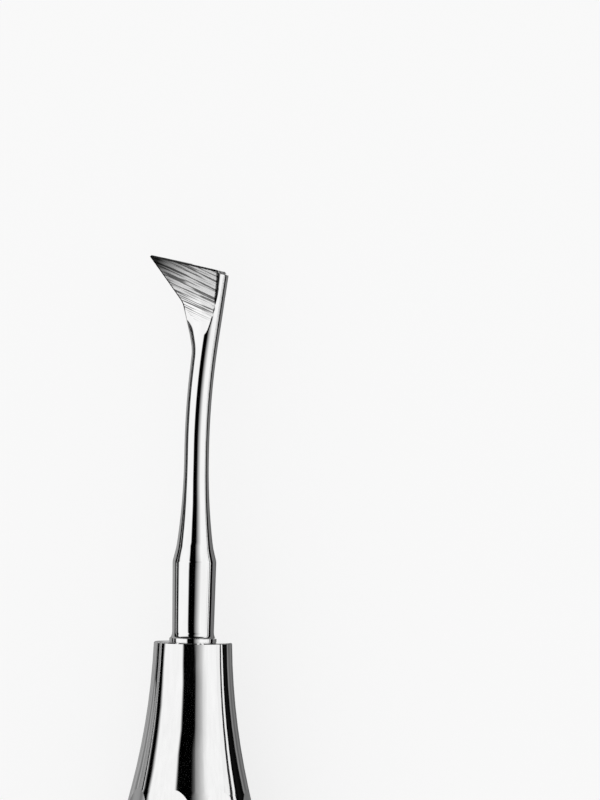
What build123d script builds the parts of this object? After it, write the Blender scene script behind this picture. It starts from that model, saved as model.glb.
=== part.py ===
from build123d import *
from math import acos, atan2, cos, radians, sin, tan
import os

# Dental elevator with a flag-shaped blade, lying on one flat of its eight-sided handle.
# Millimetres, +Z up, +Y toward the tip, origin at the centre of the flat that it rests on.
# Heights along the tool are measured from the handle's rim, upward to the tip.

# Overall proportions
handle_length = 108.5
spine_length = 10.35

# Handle
neck_radius = 4.7
neck_draft = 1.7
flare_radius = 84.0
flare_turn = 12.3
belly_radius = 8.5
across_flats = 16.0
flat_count = 8
flat_start_height = 5.58
flat_ramp_length = 29.2
wall = 1.25
hollow_start = 16.0
hollow_cone_length = 14.0
rim_bevel = 0.12
shell_bevel = 0.9

# End cap
cap_head_length = 6.0
cap_band = 1.0
cap_plug_length = 5.0
cap_recess_radius = 4.2
cap_recess_depth = 4.0

# Tang in the handle's bore, with the clearance that the cap's plug shares
tang_radius = 2.2
tang_length = 14.0
tang_bevel = 0.4
fit_clearance = 0.05

# Collar
foot_radius = 2.85
foot_height = 0.45
waist_radius = 2.52
waist_height = 1.3
collar_radius = 2.64
collar_top = 9.3
shoulder_radius = 2.22
shoulder_top = 11.4

# Shank
shank_radius = 1.5
shank_flare_top = 22.0
bend_start = 23.0
bend_radius = 97.4
bend_turn = 7.7

# Blade
flag_width = 6.17
flag_edge_angle = 37.1
flag_edge_thickness = 0.45
back_bevel_angle = 38.0
back_bevel_width = 5.0
flag_length = 7.6
root_arc_radius = 3.0
root_run_angle = 7.9
root_run_length = 4.2
web_lead = 1.5
web_sink = 0.1
swell_radius = 3.0
top_edge_angle = 11.6
top_corner_bevel = 0.3
wheel_radius = 50.0
wheel_depth = 0.25
wheel_distance = 4.5
face_clearance = 0.04

# Heights and radii worked out from the sizes above
spare = belly_radius * 2
flat_height = across_flats / 2
flat_ramp_slope = (flat_height - flat_start_height) / flat_ramp_length
shell_length = handle_length - cap_head_length
cap_radius = belly_radius - shell_bevel
flat_end = shell_length - flat_height + cap_radius
rim_y = (flat_ramp_length + flat_end) / 2
flare_end_angle = radians(neck_draft + flare_turn)
flare_end_radius = neck_radius + flare_radius * (cos(radians(neck_draft)) - cos(flare_end_angle))
belly_arc_radius = (belly_radius - flare_end_radius) / (1 - cos(flare_end_angle))
bore_radius = tang_radius + fit_clearance
hollow_radius = flat_height - wall
web_top = shank_radius - face_clearance

# Planes: level_plane is parallel to the top flat of the handle and to the blade's face
rim_centre = Vector(0, rim_y, flat_height)
handle_axis = Axis(rim_centre, (0, 1, 0))
level_plane = Plane(origin=rim_centre, x_dir=(1, 0, 0), z_dir=(0, 0, 1))
grind_plane = Plane(origin=rim_centre, x_dir=(0, 1, 0), z_dir=(1, 0, 0))

# The blade's spine carries the shank's centre line on, straight, above the end of its bend;
# the web starts a little below that end, still inside the shank
bend_end = Vector(
    bend_radius * (1 - cos(radians(bend_turn))),
    bend_start + bend_radius * sin(radians(bend_turn)),
)
blade_reach = bend_end.Y + spine_length
spine_in_plane = Vector(sin(radians(bend_turn)), cos(radians(bend_turn)))
spine_foot = level_plane.from_local_coords(bend_end - spine_in_plane * web_lead)
spine_rise = spine_length + 2 * web_lead
spine_direction = Vector(sin(radians(bend_turn)), cos(radians(bend_turn)), 0)
spine_across = Vector(cos(radians(bend_turn)), -sin(radians(bend_turn)), 0)
spine_section_plane = Plane(origin=spine_foot, x_dir=spine_across, z_dir=-spine_direction)
spine_side_plane = Plane(origin=spine_foot, x_dir=spine_across, z_dir=(0, 0, 1))

# Ground face: hollow along the tool, as the wheel leaves it
face_level = shank_radius - wheel_depth

# Corner of the blade where the top edge meets the spine's silhouette
flag_tip = Vector(-flag_width, blade_reach)
top_direction = Vector(cos(radians(top_edge_angle)), -sin(radians(top_edge_angle)))
spine_outside = bend_end + Vector(cos(radians(bend_turn)), -sin(radians(bend_turn))) * shank_radius
top_length = (spine_outside - flag_tip).cross(spine_in_plane).Z / top_direction.cross(spine_in_plane).Z
top_corner = flag_tip + top_direction * top_length

# Wedge section of the flag's web, which starts a little inside the round spine
web_foot_radius = shank_radius - web_sink
web_edge = Vector(-flag_width - spine_rise, face_level - flag_edge_thickness)
web_touch = atan2(web_edge.Y, web_edge.X) + acos(web_foot_radius / web_edge.length)
root_arc_turn = root_run_angle - flag_edge_angle
root_arc_rise = root_arc_radius * (sin(radians(flag_edge_angle)) - sin(radians(root_run_angle)))
edge_line_rise = flag_length - root_arc_rise
edge_line_length = edge_line_rise / cos(radians(flag_edge_angle))
bevel_top = face_level - flag_edge_thickness
bevel_bottom = bevel_top - back_bevel_width * tan(radians(back_bevel_angle))

# Web of the flag: a wedge from the spine to the thin edge, cut to the flag's outline,
# drawn in at the root, where it grows out of the shank, and bevelled behind its lower edge
with BuildPart() as flag_web:
    with BuildSketch(spine_section_plane):
        Polygon(
            (0, web_top),
            (web_edge.X, web_top),
            (web_edge.X, web_edge.Y),
            (web_foot_radius * cos(web_touch), web_foot_radius * sin(web_touch)),
            (0, 0),
            align=None,
        )
    extrude(amount=-spine_rise)

    with BuildSketch(level_plane):
        with BuildLine():
            edge_line = PolarLine(flag_tip, length=edge_line_length, angle=flag_edge_angle - 90)
            root_arc = JernArc(edge_line @ 1, edge_line % 1, root_arc_radius, root_arc_turn)
            root_run = PolarLine(root_arc @ 1, length=root_run_length, direction=root_arc % 1)
            Polyline(
                root_run @ 1,
                (spare, (root_run @ 1).Y),
                (spare, blade_reach),
                flag_tip,
            )
        make_face()
    extrude(amount=spare, both=True, mode=Mode.INTERSECT)

    with BuildSketch(spine_side_plane):
        with BuildLine():
            Polyline((0, spine_rise), (0, 0), (web_foot_radius, 0))
            swell = TangentArc(
                (web_foot_radius, 0),
                (web_foot_radius + swell_radius, swell_radius),
                tangent=(0, 1),
            )
            Polyline(swell @ 1, (spare, swell_radius), (spare, spine_rise), (0, spine_rise))
        make_face()
    revolve(axis=Axis(spine_foot, spine_direction), mode=Mode.INTERSECT)

    with BuildLine(level_plane) as lower_edge:
        edge_run = PolarLine((-flag_width, blade_reach), edge_line_length, angle=flag_edge_angle - 90)
        edge_turn = JernArc(edge_run @ 1, edge_run % 1, root_arc_radius, root_arc_turn)
        Line(edge_turn @ 1, edge_turn @ 1 + (edge_turn % 1) * root_run_length)
    edge_direction = lower_edge.line % 0
    edge_inward = Vector(0, 0, 1).cross(edge_direction)
    with BuildSketch(Plane(origin=lower_edge.line @ 0, x_dir=edge_inward, z_dir=edge_direction)):
        Polygon(
            (0, bevel_top),
            (back_bevel_width, bevel_bottom),
            (-1, bevel_bottom),
            (-1, bevel_top),
            align=None,
        )
    sweep(path=lower_edge.line, mode=Mode.SUBTRACT)

# Working end: tang, foot, collar and shoulder turned round the axis, then the bent shank and the blade
with BuildPart() as working_end:
    with BuildSketch(level_plane):
        with BuildLine():
            Polyline(
                (0, shank_flare_top),
                (0, -tang_length),
                (tang_radius - tang_bevel, -tang_length),
                (tang_radius, -tang_length + tang_bevel),
                (tang_radius, 0),
                (foot_radius, 0),
                (foot_radius, foot_height),
            )
            Spline(
                (foot_radius, foot_height),
                (waist_radius, waist_height),
                tangents=[(-1, 0.4), (0, 1)],
            )
            Polyline(
                (waist_radius, waist_height),
                (collar_radius, collar_top),
                (shoulder_radius, shoulder_top),
            )
            TangentArc(
                (shank_radius, shank_flare_top),
                (shoulder_radius, shoulder_top),
                tangent=(0, -1),
            )
            Line((shank_radius, shank_flare_top), (0, shank_flare_top))
        make_face()
    revolve(axis=handle_axis)

    with BuildLine(level_plane) as shank_path:
        straight = Line((0, shank_flare_top - 1), (0, bend_start))
        bend = JernArc(straight @ 1, straight % 1, bend_radius, -bend_turn)
        Line(bend @ 1, bend @ 1 + (bend % 1) * spine_rise)
    with BuildSketch(Plane(origin=shank_path.line @ 0, x_dir=(1, 0, 0), z_dir=(0, 1, 0))):
        Circle(shank_radius)
    sweep(path=shank_path.line)
    add(flag_web.part)

    # Face ground hollow by the wheel, which runs out on the shank
    with BuildSketch(grind_plane):
        with Locations((blade_reach - wheel_distance, face_level + wheel_radius)):
            Circle(wheel_radius)
    extrude(amount=spare, both=True, mode=Mode.SUBTRACT)

    # Top edge, cut square to the face, with the spine's corner taken off
    with BuildSketch(level_plane):
        Polygon(
            flag_tip - top_direction,
            top_corner - top_direction * top_corner_bevel,
            top_corner - spine_in_plane * top_corner_bevel,
            top_corner - spine_in_plane * top_corner_bevel + Vector(spare, 0),
            top_corner + Vector(spare, spare),
            flag_tip + Vector(-1, spare),
            align=None,
        )
    extrude(amount=spare, both=True, mode=Mode.SUBTRACT)
working_end.part.label = "working_end"

# Handle: a turned shell that flares from the rim to the belly, with flats that rise out of the flare
with BuildPart() as handle_shell:
    with BuildSketch(level_plane):
        with BuildLine():
            rim_edge = Polyline((0, 0), (neck_radius - rim_bevel, 0), (neck_radius, -rim_bevel))
            neck_heading = (sin(radians(neck_draft)), -cos(radians(neck_draft)))
            flare = JernArc(rim_edge @ 1, neck_heading, flare_radius, flare_turn)
            belly_arc = JernArc(flare @ 1, flare % 1, belly_arc_radius, -neck_draft - flare_turn)
            Polyline(
                belly_arc @ 1,
                (belly_radius, -shell_length + shell_bevel),
                (cap_radius, -shell_length),
                (0, -shell_length),
                (0, 0),
            )
        make_face()
    revolve(axis=handle_axis)

    for flat in range(flat_count):
        turn = 2 * radians(180) * flat / flat_count
        flat_plane = Plane(origin=rim_centre, x_dir=(0, -1, 0), z_dir=(-cos(turn), 0, sin(turn)))
        with BuildSketch(flat_plane):
            Polygon(
                (-1, flat_start_height - flat_ramp_slope),
                (flat_ramp_length, flat_height),
                (handle_length, flat_height),
                (handle_length, spare),
                (-1, spare),
                align=None,
            )
        extrude(amount=spare, both=True, mode=Mode.SUBTRACT)

    with BuildSketch(level_plane):
        Polygon(
            (0, 0),
            (bore_radius, 0),
            (bore_radius, -hollow_start),
            (hollow_radius, -hollow_start - hollow_cone_length),
            (hollow_radius, -shell_length),
            (0, -shell_length),
            align=None,
        )
    revolve(axis=handle_axis, mode=Mode.SUBTRACT)
handle_shell.part.label = "handle_shell"

# End cap: a domed head that closes the butt, with a plug in the shell's hollow
with BuildPart() as end_cap:
    with BuildSketch(level_plane):
        with BuildLine():
            Polyline(
                (0, -handle_length),
                (0, -shell_length + cap_plug_length - cap_recess_depth),
                (cap_recess_radius, -shell_length + cap_plug_length - cap_recess_depth),
                (cap_recess_radius, -shell_length + cap_plug_length),
                (hollow_radius - fit_clearance, -shell_length + cap_plug_length),
                (hollow_radius - fit_clearance, -shell_length),
                (cap_radius, -shell_length),
                (cap_radius, -shell_length - cap_band),
            )
            TangentArc(
                (0, -handle_length),
                (cap_radius, -shell_length - cap_band),
                tangent=(1, 0),
            )
        make_face()
    revolve(axis=handle_axis)
end_cap.part.label = "end_cap"

os.makedirs("parts", exist_ok=True)
export_step(working_end.part, "parts/working_end.step")
export_step(handle_shell.part, "parts/handle_shell.step")
export_step(end_cap.part, "parts/end_cap.step")
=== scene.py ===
import bpy
import bmesh
from math import acos, atan2, cos, pi, radians, sin, sqrt, tan
from mathutils import Matrix, Vector


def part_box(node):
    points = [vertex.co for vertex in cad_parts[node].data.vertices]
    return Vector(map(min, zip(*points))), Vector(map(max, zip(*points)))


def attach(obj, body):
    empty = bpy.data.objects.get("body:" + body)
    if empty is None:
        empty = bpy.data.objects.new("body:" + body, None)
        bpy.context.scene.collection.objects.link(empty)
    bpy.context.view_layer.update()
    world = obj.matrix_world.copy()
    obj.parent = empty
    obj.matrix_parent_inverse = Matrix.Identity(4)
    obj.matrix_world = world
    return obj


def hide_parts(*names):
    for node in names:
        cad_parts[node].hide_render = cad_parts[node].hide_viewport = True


# Dental elevator lying on one flat of its handle, seen a little from the side of its blade.
# Metres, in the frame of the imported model: +Y toward the tip, +Z up, the floor at z = 0.
# Sizes of the tool are in millimetres; heights along it are measured from the handle's rim.

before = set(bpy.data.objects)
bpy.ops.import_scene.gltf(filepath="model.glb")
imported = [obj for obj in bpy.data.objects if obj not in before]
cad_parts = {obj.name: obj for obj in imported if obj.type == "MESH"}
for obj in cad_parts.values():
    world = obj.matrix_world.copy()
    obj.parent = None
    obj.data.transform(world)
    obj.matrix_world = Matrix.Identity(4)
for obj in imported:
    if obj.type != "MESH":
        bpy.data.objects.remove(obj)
bpy.context.view_layer.update()
MM = 0.001

# Where the tool lies: its axis and its rim
rim_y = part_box("handle_shell")[1].y
axis_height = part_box("handle_shell")[1].z / 2
rim_centre = Vector((0, rim_y, axis_height))
along = Vector((0, 1, 0))

# The view leans over sideways from straight above the blade's face
view_lean = radians(14.5)
lateral = Vector((cos(view_lean), 0, -sin(view_lean)))
toward_camera = Vector((sin(view_lean), 0, cos(view_lean)))

# Collar and shank
tang_length = 14.0
tang_radius = 2.2
tang_bevel = 0.4
foot_radius = 2.85
foot_height = 0.45
foot_bevel = 0.05
foot_round = 0.06
foot_pull = Vector((0.1, -0.25))
waist_pull = Vector((0.35, 0))
waist_radius = 2.52
waist_height = 1.3
collar_radius = 2.64
collar_top = 9.7
shoulder_radius = 2.22
shoulder_top = 11.4
shoulder_round = 0.12
shank_radius = 1.5
flare_top = 22.0
bend_start = 23.0
bend_radius = 97.4
bend_turn = radians(7.7)
bend_end = bend_start + bend_radius * sin(bend_turn)

# Blade
tip_height = 46.4
flag_width = 6.17
edge_slope = tan(radians(37.1))
edge_thickness = 0.45
root_slope = tan(radians(10.7))
root_width = 1.42
root_height = 38.4
root_start = 33.5
root_blend = 0.25
edge_blend = 0.3
top_slope = tan(radians(11.6))
top_slope_start = 40.0
back_bevel_slope = 0.623
web_sink = 0.04
knee_share = 0.4
wedge_turn = radians(6.5)
wheel_radius = 50.0
wheel_distance = 4.5
wheel_height = tip_height - wheel_distance
face_low = 1.25
round_end = 35.5
flag_start = 42.0
corner_round = 0.3
tip_bevel = 0.22
tip_inset = 0.18
ground_start = 37.0
ground_level = 0.96
sharp_angle = radians(21)
edge_chamfer = 0.18
edge_chamfer_drop = 0.14
crease_width = 0.1
crease_turn = crease_width / shank_radius

# The wheel's lines on the face: where they start and how they are turned; then the direction and the span
# over which the face's painted dark reflection, darkest at the tip, fades to full brightness
lines_start = 38.4
lines_fade = 1.6
lines_turn = radians(23)
away_from_tip = (0.75, -0.66, 0)
painted_reflection_fade_start = 2.4
painted_reflection_fade_end = 6.2

# Numbers of rings drawn up along the working end
foot_rings = 10
waist_rings = 8
flare_rings = 24
shank_rings = 18
blade_rings = 70
# Passes that find each vertex's height on a slanted ring
slant_passes = 5

# One ring of the working end: the number of steps in each span, clockwise from the face's right edge
ring_spans = {"arc": 52, "wedge": 6, "bevel": 8, "edge": 1, "chamfer": 1, "face": 20, "crease": 2}
# Where the ends of the spans stand on the round shank, in degrees from straight up
round_stands = (10, 186.5, 225, 262, 271, 278, 365, 370)


def smooth_step(low, high, value):
    """0 below low, 1 above high, and a smooth rise between them."""
    share = min(max((value - low) / (high - low), 0), 1)
    return share * share * (3 - 2 * share)


def smooth_max(a, b, width):
    """The larger of two values, rounded over where they are closer than the width."""
    share = max(width - abs(a - b), 0) / width
    return max(a, b) + share * share * width / 4


def between(a, b, share):
    return a + (b - a) * share


# Working end

def ring_places():
    """Each vertex of a ring as its span's number and its share of that span."""
    places = []
    for number, steps in enumerate(ring_spans.values()):
        places += [(number, step / steps) for step in range(steps)]
    return places


def centre_at(height):
    """How far the bent shank's centre line has moved sideways."""
    if height <= bend_start:
        return 0.0
    if height <= bend_end:
        return bend_radius - sqrt(bend_radius ** 2 - (height - bend_start) ** 2)
    return bend_radius * (1 - cos(bend_turn)) + tan(bend_turn) * (height - bend_end)


def face_at(height):
    """Level of the face, hollow ground by a wheel."""
    return face_low + wheel_radius - sqrt(wheel_radius ** 2 - (height - wheel_height) ** 2)


def corner_at(level):
    """How much the spine's corner is rounded off in the rings next to the tip."""
    reach = min(max((level - tip_height + tip_bevel) / corner_round + 1, 0), 1)
    return corner_round * (1 - sqrt(1 - reach * reach))


def outline_at(height):
    """How far the outline stands to the left of the axis: shank, then root, then the blade's edge."""
    shank = shank_radius / cos(bend_turn) - centre_at(height)
    root = root_width + (height - root_height) * root_slope
    edge = flag_width - (tip_height - height) * edge_slope
    return smooth_max(smooth_max(shank, root, root_blend), edge, edge_blend)


def blade_corners(height):
    """The blade's section: angles of the round back's ends, then the knee and the edges of the rim."""
    radius = shank_radius
    centre = centre_at(height)
    face = min(face_at(height), radius - web_sink)
    width = outline_at(height)
    face_turn = max(acos(min(face_at(height) / radius, 1)), radians(round_stands[0]))
    rim_top = Vector((-width + edge_chamfer, face))
    rim_side = Vector((-width, face - edge_chamfer_drop))
    rim_low = Vector((-width, face - edge_thickness))
    touch_turn = pi + wedge_turn
    touch = Vector((centre + radius * sin(touch_turn), radius * cos(touch_turn)))
    rise = tan(wedge_turn)
    run = (rim_low.y - touch.y - rise * (touch.x + width)) / (back_bevel_slope - rise)
    knee = Vector((-width + run, rim_low.y - back_bevel_slope * run))
    if knee.x > touch.x:
        heading = Vector((1, -back_bevel_slope)).normalized()
        offset = rim_low - Vector((centre, 0))
        lead = offset.dot(heading)
        touch = rim_low + heading * (-lead - sqrt(max(lead ** 2 - offset.length_squared + radius ** 2, 0)))
        touch_turn = atan2(touch.x - centre, touch.y) % (2 * pi)
        knee = between(touch, rim_low, knee_share)
    return centre, radius, face_turn, touch_turn, (touch, knee, rim_low, rim_side, rim_top)


def blade_point(place, height):
    """A vertex's place across the blade, blended from the round shank into the ground flag."""
    number, share = place
    share_flag = smooth_step(round_end, flag_start, height)
    centre, radius, face_turn, touch_turn, corners = blade_corners(height)
    stand = radians(between(round_stands[number], round_stands[number + 1], share))
    if number == 0:
        stand = between(stand, between(face_turn + crease_turn, touch_turn, share), share_flag)
        point = Vector((centre + radius * sin(stand), radius * cos(stand)))
    else:
        face_end = Vector((centre + radius * sin(face_turn) - crease_width, radius * cos(face_turn)))
        back_start = face_turn + crease_turn
        ends = corners + (face_end, Vector((centre + radius * sin(back_start), radius * cos(back_start))))
        flag = between(ends[number - 1], ends[number], share)
        point = between(Vector((centre + radius * sin(stand), radius * cos(stand))), flag, share_flag)
    if point.x < centre:
        left = between(shank_radius, outline_at(height) + centre, share_flag)
        point.x = centre + (point.x - centre) * (outline_at(height) + centre) / left
    return Vector((point.x, min(point.y, face_at(height))))


def turned_rings():
    """Heights and radii of the turned rings above the tang's end."""
    rings = [(height, tang_radius) for height in (-tang_length + tang_bevel, -9, -4, 0)]
    rings += [(0, foot_radius - foot_bevel), (foot_bevel, foot_radius)]
    rings += [(foot_height - foot_round, foot_radius)]
    start, end = Vector((foot_height, foot_radius)), Vector((waist_height, waist_radius))
    pull, push = start + foot_pull, end - waist_pull
    for step in range(foot_rings):
        t = step / (foot_rings - 1)
        point = start * (1 - t) ** 3 + pull * 3 * t * (1 - t) ** 2
        point += push * 3 * t * t * (1 - t) + end * t ** 3
        rings.append((point.x, point.y))
    for step in range(1, waist_rings):
        t = step / waist_rings
        rings.append((between(waist_height, collar_top, t), between(waist_radius, collar_radius, t)))
    for shift, inward in ((-shoulder_round, 0.002), (0, 0.012), (shoulder_round, 0.034)):
        rings.append((collar_top + shift, collar_radius - inward))
    for share in (0.3, 0.6, 0.9):
        radius = between(collar_radius, shoulder_radius, share)
        rings.append((between(collar_top, shoulder_top, share), radius))
    drop = shoulder_radius - shank_radius
    rise = flare_top - shoulder_top
    flare = (drop * drop + rise * rise) / (2 * drop)
    for step in range(1, flare_rings + 1):
        height = between(shoulder_top, flare_top, step / flare_rings)
        rings.append((height, shank_radius + flare - sqrt(flare ** 2 - (flare_top - height) ** 2)))
    return rings


def build_working_end():
    """The working end, drawn up ring by ring from the tang's end to the blade's tip."""
    places = ring_places()
    bm = bmesh.new()
    bmesh.ops.create_circle(bm, cap_ends=True, segments=len(places), radius=(tang_radius - tang_bevel) * MM)
    bm.verts.ensure_lookup_table()
    ring = list(bm.verts)
    ground = bm.faces.layers.float.new("ground")

    def place_ring(position):
        """Put the open ring's vertices where the given function says."""
        for vertex, place in zip(ring, places):
            vertex.co = Vector(position(place)) * MM + rim_centre

    def round_position(height, radius):
        """A round ring on the bent centre line."""
        def position(place):
            stand = radians(between(round_stands[place[0]], round_stands[place[0] + 1], place[1]))
            return (centre_at(height) + radius * sin(stand), height, radius * cos(stand))
        return position

    def blade_position(level):
        """A ring of the blade; near the tip the rings slant as its top edge does."""
        slant = top_slope * smooth_step(top_slope_start, tip_height, level)

        def position(place):
            height = level
            for attempt in range(slant_passes):
                point = blade_point(place, height)
                height = level - slant * (point.x + flag_width)
            inward = max(point.x - centre_at(height), 0) / shank_radius * corner_at(level)
            return (point.x - inward, height, point.y)
        return position

    def grow():
        """Extrude the open ring by one step, and give its new vertices in the same order."""
        edges = [edge for edge in bm.edges if edge.verts[0] in current and edge.verts[1] in current]
        grown = bmesh.ops.extrude_edge_only(bm, edges=edges)["geom"]
        sides = [item for item in grown if isinstance(item, bmesh.types.BMFace)]
        partner = {}
        for face in sides:
            for edge in face.edges:
                one, two = edge.verts
                if (one in current) != (two in current):
                    old, new = (one, two) if one in current else (two, one)
                    partner[old] = new
        return [partner[vertex] for vertex in ring]

    place_ring(round_position(-tang_length, tang_radius - tang_bevel))
    levels = []
    for height, radius in turned_rings():
        levels.append(round_position(height, radius))
    for step in range(1, shank_rings + 1):
        height = between(flare_top, root_start, step / shank_rings)
        levels.append(round_position(height, shank_radius))
    for step in range(1, blade_rings + 1):
        levels.append(blade_position(between(root_start, tip_height - tip_bevel, step / blade_rings)))
    for position in levels:
        current = set(ring)
        ring = grow()
        place_ring(position)
    current = set(ring)
    rim = [edge for edge in bm.edges if edge.verts[0] in current and edge.verts[1] in current]
    tip = bmesh.ops.contextual_create(bm, geom=rim)["faces"]
    bmesh.ops.inset_region(bm, faces=tip, thickness=tip_inset * MM, depth=0.0)
    bmesh.ops.translate(bm, verts=tip[0].verts, vec=(0, tip_bevel * MM, 0))
    bmesh.ops.recalc_face_normals(bm, faces=bm.faces)

    for face in bm.faces:
        face.smooth = True
        centre = face.calc_center_median() - rim_centre
        height = centre.y / MM
        is_face = face.normal.z > ground_level and height > ground_start and centre.z / MM < shank_radius
        face[ground] = 1.0 if is_face else 0.0
    for edge in bm.edges:
        edge.smooth = edge.calc_face_angle(0) < sharp_angle
    mesh = bpy.data.meshes.new("working_end_refined")
    bm.to_mesh(mesh)
    bm.free()
    piece = bpy.data.objects.new("working_end_refined", mesh)
    bpy.context.scene.collection.objects.link(piece)
    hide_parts("working_end")
    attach(piece, "root")
    return piece


# Node helpers

class Nodes:
    """A short way to write a shader's node tree."""

    def __init__(self, tree):
        self.tree = tree
        tree.nodes.clear()

    def add(self, kind, inputs=(), **settings):
        node = self.tree.nodes.new(kind)
        for name, value in settings.items():
            setattr(node, name, value)
        for key, value in dict(inputs).items():
            if isinstance(value, bpy.types.NodeSocket):
                self.tree.links.new(value, node.inputs[key])
            else:
                node.inputs[key].default_value = value
        return node

    def math(self, operation, a, b=0.0, c=0.0):
        return self.add("ShaderNodeMath", {0: a, 1: b, 2: c}, operation=operation).outputs[0]

    def dot(self, a, b):
        return self.add("ShaderNodeVectorMath", {0: a, 1: b}, operation="DOT_PRODUCT").outputs["Value"]

    def noise(self, vector, scale, detail=2.0):
        node = self.add("ShaderNodeTexNoise", {"Vector": vector, "Scale": scale, "Detail": detail})
        return node.outputs["Fac"]

    def bump(self, height, distance):
        node = self.add("ShaderNodeBump", {"Height": height, "Distance": distance, "Strength": 1.0})
        return node.outputs["Normal"]

    def stretched(self, vector, scale):
        return self.add("ShaderNodeMapping", {"Vector": vector, "Scale": scale}).outputs["Vector"]

    def turned(self, vector, turn):
        return self.add("ShaderNodeMapping", {"Vector": vector, "Rotation": (0, 0, turn)}).outputs["Vector"]

    def range(self, value, low, high, to_low, to_high):
        return self.add(
            "ShaderNodeMapRange", {"Value": value, 1: low, 2: high, 3: to_low, 4: to_high}
        ).outputs["Result"]

    def ramp(self, factor, stops):
        node = self.add("ShaderNodeValToRGB", {"Fac": factor})
        bar = node.color_ramp
        bar.interpolation = "LINEAR"
        while len(bar.elements) > 1:
            bar.elements.remove(bar.elements[-1])
        bar.elements[0].position = stops[0][0]
        bar.elements[0].color = grey(stops[0][1])
        for position, level in stops[1:]:
            bar.elements.new(position).color = grey(level)
        return node.outputs["Color"]


def grey(level):
    return (level, level, level, 1)


# Camera: 600 by 800 pixels at 0.12 mm a pixel in the plane of the tool's axis

frame_width = 600
frame_height = 800
rim_pixel_x = 193
rim_pixel_y = 642
pixel = 0.12 * MM
camera_distance = 0.75
sensor_width = 36
tool_tilt = radians(1.16)
camera_right = lateral * cos(tool_tilt) + along * sin(tool_tilt)
camera_up = along * cos(tool_tilt) - lateral * sin(tool_tilt)
frame_centre = rim_centre + camera_right * (frame_width / 2 - rim_pixel_x) * pixel
frame_centre += camera_up * (rim_pixel_y - frame_height / 2) * pixel


def build_camera():
    """A distant camera at the photograph's angle and frame."""
    camera_data = bpy.data.cameras.new("camera")
    camera_data.sensor_width = sensor_width
    camera_data.lens = sensor_width * camera_distance / (frame_height * pixel)
    camera_data.clip_start = 0.01
    camera_data.clip_end = 20
    camera = bpy.data.objects.new("camera", camera_data)
    turn = Matrix((camera_right, camera_up, toward_camera)).transposed().to_4x4()
    camera.matrix_world = Matrix.Translation(frame_centre + toward_camera * camera_distance) @ turn
    bpy.context.scene.collection.objects.link(camera)
    bpy.context.scene.camera = camera
    bpy.context.scene.view_settings.view_transform = "Standard"


# Studio: long soft boxes with dark gaps run along the tool, as bands of angle round its axis,
# in degrees from the view's direction, positive toward +X; the second number is the brightness

studio_bands = [
    (-180, 0.3), (-106, 0.3), (-105, 0.0), (-93, 0.0), (-86, 1.0), (-30.6, 1.0),
    (-26, 0.0), (4, 0.0), (38, 1.0), (75, 1.0), (77, 0.05), (180, 0.05),
]
# How far the bands turn, in degrees, between two values of a direction's share along the tool
band_turns = ((-0.15, -0.02, 2.6, 0.0), (0.05, 0.12, 0.0, -3.5), (0.24, 0.3, 0.0, 3.5))
# The studio's dark wall beyond the tip, as shares along the tool, and its brightness
wall_start = 0.54
wall_end = 0.68
wall_level = 0.03
plain_level = 0.9

floor_drop = 0.02
floor_size = 6
floor_grey = 0.9
shown_grey = 0.99
shown_share = 0.75


def build_studio():
    """The polish mirrors the studio's bands; everything else is lit at one plain level."""
    world = bpy.data.worlds.new("studio")
    world.use_nodes = True
    bpy.context.scene.world = world
    n = Nodes(world.node_tree)
    direction = n.add("ShaderNodeTexCoord").outputs["Generated"]
    across = n.dot(direction, lateral)
    toward = n.dot(direction, toward_camera)
    angle = n.math("ARCTAN2", across, toward)
    lengthwise = n.dot(direction, along)
    shift = n.range(lengthwise, *band_turns[0])
    for band_turn in band_turns[1:]:
        shift = n.math("ADD", shift, n.range(lengthwise, *band_turn))
    place = n.math("MULTIPLY_ADD", angle, 1 / (2 * pi), n.math("MULTIPLY_ADD", shift, 1 / 360, 0.5))
    bands = n.ramp(place, [((a + 180) / 360, level) for a, level in studio_bands])
    end_wall = n.range(lengthwise, wall_start, wall_end, 1.0, wall_level)
    bands = n.add("ShaderNodeVectorMath", {0: bands, 3: end_wall}, operation="SCALE").outputs[0]
    mirrored = n.add("ShaderNodeBackground", {"Color": bands, "Strength": 1.0}).outputs[0]
    plain = n.add("ShaderNodeBackground", {"Color": grey(1.0), "Strength": plain_level}).outputs[0]
    path = n.add("ShaderNodeLightPath")
    mix = n.add("ShaderNodeMixShader", {0: path.outputs["Is Glossy Ray"], 1: plain, 2: mirrored})
    n.add("ShaderNodeOutputWorld", {"Surface": mix.outputs[0]})


def flat_sheet(name, size_x, size_y, centre):
    """A flat stage piece, level, with its middle at the centre."""
    mesh = bpy.data.meshes.new(name)
    bm = bmesh.new()
    bmesh.ops.create_grid(bm, x_segments=1, y_segments=1, size=0.5)
    bmesh.ops.scale(bm, vec=(size_x, size_y, 1), verts=bm.verts)
    bmesh.ops.translate(bm, verts=bm.verts, vec=centre)
    bm.to_mesh(mesh)
    bm.free()
    sheet = bpy.data.objects.new(name, mesh)
    bpy.context.scene.collection.objects.link(sheet)
    return sheet


def build_floor():
    """A pale floor that the polish and glass see as the camera does, and that keeps the shadow."""
    floor = flat_sheet("floor", floor_size, floor_size, (0, 0, -floor_drop * MM))
    material = bpy.data.materials.new("pale_floor")
    material.use_nodes = True
    n = Nodes(material.node_tree)
    lit = n.add("ShaderNodeBsdfDiffuse", {"Color": grey(floor_grey)}).outputs[0]
    pale = n.add("ShaderNodeEmission", {"Color": grey(shown_grey), "Strength": 1.0}).outputs[0]
    path = n.add("ShaderNodeLightPath")
    shown = n.math("MAXIMUM", path.outputs["Is Camera Ray"], path.outputs["Is Glossy Ray"])
    shown = n.math("MAXIMUM", shown, path.outputs["Is Transmission Ray"])
    mix = n.add("ShaderNodeMixShader", {0: n.math("MULTIPLY", shown, shown_share), 1: lit, 2: pale})
    n.add("ShaderNodeOutputMaterial", {"Surface": mix.outputs[0]})
    floor.data.materials.append(material)


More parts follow.
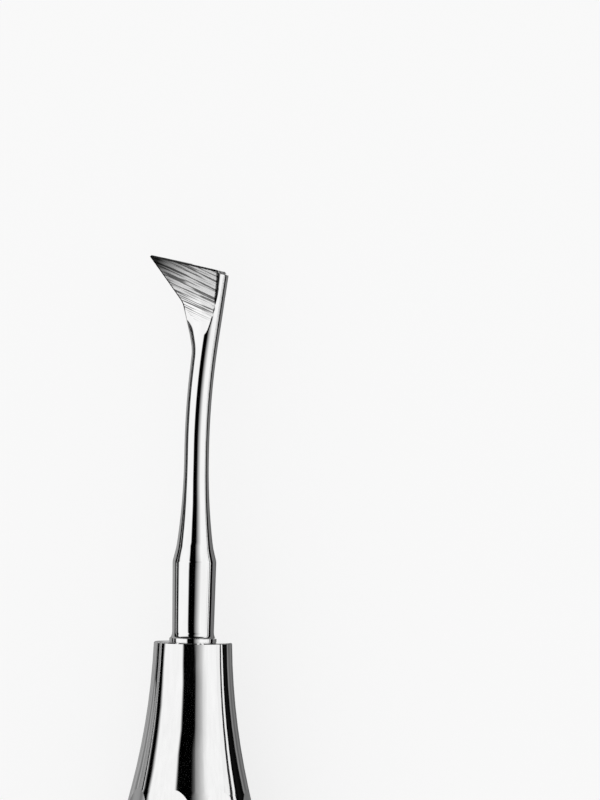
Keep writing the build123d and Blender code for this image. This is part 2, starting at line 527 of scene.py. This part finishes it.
def build_cards():
    """Cards beside the tool, seen only in its polish: dark flags, and two grey cards that paint the floor's
    shade beside the tool as the polish sees it. Each row gives level, height, then each one's edges.
    """
    for name, level, lift, left, right, near, far in (
        ("far_flag", 0.03, 0.3, 38, 54, -350, 450),
        ("right_flag", 0.004, 0.3, 13.6, 29, -350, 450),
        # Grey cards: painted shade of the floor beside the tool, as the polish sees it
        ("right_painted_shade_card", 0.17, 0.3, 3, 13.6, -350, 450),
        ("left_painted_shade_card", 0.3, 0.3, -600, -3, -350, 450),
        ("shank_flag", 0.004, 0.6, -500, -31, 76, 260),
        ("collar_flag", 0.004, 0.6, -60, -31, 62, 75.9),
    ):
        centre = Vector(((left + right) / 2, (near + far) / 2, lift)) * MM
        card = flat_sheet(name, (right - left) * MM, (far - near) * MM, centre)
        material = bpy.data.materials.new(name)
        material.use_nodes = True
        n = Nodes(material.node_tree)
        place = n.add("ShaderNodeTexCoord").outputs["Object"]
        streaks = n.noise(n.stretched(place, (420, 6, 1)), 1.0, 1.0)
        streaks = n.range(streaks, 0.3, 0.7, 0.35 * level, 1.65 * level)
        # Each card's glow, seen only by glossy and transmission rays; on the grey cards it is painted shade
        painted_dark_reflection = n.add("ShaderNodeEmission", {"Color": streaks, "Strength": 1.0}).outputs[0]
        n.add("ShaderNodeOutputMaterial", {"Surface": painted_dark_reflection})
        card.data.materials.append(material)
        card.visible_camera = False
        card.visible_diffuse = False
        card.visible_shadow = False


# Materials

def polished_steel():
    """Mirror polish on the working end, with the wheel's fine lines on the blade's ground face, and a
    painted dark reflection in the ground face's colour, darkest toward the tip.
    """
    material = bpy.data.materials.new("polished_steel_finish")
    material.use_nodes = True
    n = Nodes(material.node_tree)
    place = n.add("ShaderNodeTexCoord").outputs["Object"]
    ground = n.add("ShaderNodeAttribute", attribute_name="ground").outputs["Fac"]
    height = n.dot(place, (0, 1, 0))
    fade_start = rim_y + lines_start * MM
    fade_end = fade_start + lines_fade * MM
    ground = n.math("MULTIPLY", ground, n.range(height, fade_start, fade_end, 0.0, 1.0))
    wheel_place = n.turned(place, lines_turn)
    lines = n.noise(n.stretched(wheel_place, (210, 5200, 210)), 1.0, 2.0)
    broad = n.noise(n.stretched(wheel_place, (90, 1500, 90)), 1.0, 1.0)
    tip = rim_centre + Vector((-flag_width, tip_height, 0)) * MM
    from_tip = n.add(
        "ShaderNodeVectorMath", {0: place, 1: tip}, operation="SUBTRACT"
    ).outputs["Vector"]
    from_tip = n.math("MULTIPLY_ADD", broad, 0.002, n.dot(from_tip, away_from_tip))
    # Painted dark reflection: the ground face's colour fades from near black at the tip to full brightness
    # away from it
    painted_dark_reflection = n.range(from_tip, painted_reflection_fade_start * MM, painted_reflection_fade_end * MM, 0.03, 1.0)
    wear = n.noise(n.stretched(place, (900, 160, 900)), 1.0, 2.0)
    relief = n.math("MULTIPLY", n.math("MULTIPLY_ADD", broad, 0.6, lines), ground)
    bump = n.bump(relief, 0.006 * MM)
    ground_rough = n.range(lines, 0.3, 0.7, 0.1, 0.2)
    polish_rough = n.range(wear, 0.35, 0.65, 0.02, 0.05)
    rough = n.add("ShaderNodeMix", {0: ground, 2: polish_rough, 3: ground_rough}).outputs[0]
    tone = n.range(wear, 0.3, 0.7, 0.88, 0.94)
    # The ground face's colour: the wheel's lines, times the painted dark reflection toward the tip
    ground_tone = n.math("MULTIPLY", n.range(lines, 0.42, 0.53, 0.16, 0.98), painted_dark_reflection)
    level = n.add("ShaderNodeMix", {0: ground, 2: tone, 3: ground_tone}).outputs[0]
    shader = n.add("ShaderNodeBsdfPrincipled", {
        "Base Color": level, "Metallic": 1.0, "Roughness": rough, "Normal": bump,
    })
    n.add("ShaderNodeOutputMaterial", {"Surface": shader.outputs[0]})
    return material


def bright_steel():
    """Bright finish of the handle and its cap: faint lines along it and a slight mottling."""
    material = bpy.data.materials.new("bright_steel_finish")
    material.use_nodes = True
    n = Nodes(material.node_tree)
    place = n.add("ShaderNodeTexCoord").outputs["Object"]
    streaks = n.noise(n.stretched(place, (2600, 60, 2600)), 1.0, 3.0)
    mottle = n.noise(n.stretched(place, (700, 120, 700)), 1.0, 2.0)
    rough = n.range(mottle, 0.3, 0.7, 0.025, 0.06)
    tone = n.range(streaks, 0.3, 0.7, 0.87, 0.93)
    bump = n.bump(mottle, 0.001 * MM)
    shader = n.add("ShaderNodeBsdfPrincipled", {
        "Base Color": tone, "Metallic": 1.0, "Roughness": rough, "Normal": bump,
    })
    n.add("ShaderNodeOutputMaterial", {"Surface": shader.outputs[0]})
    return material


build_camera()
build_studio()
build_floor()
build_cards()
working_end = build_working_end()
polished = polished_steel()
bright = bright_steel()
working_end.data.materials.append(polished)
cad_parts["handle_shell"].material_slots[0].material = bright
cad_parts["end_cap"].material_slots[0].material = bright
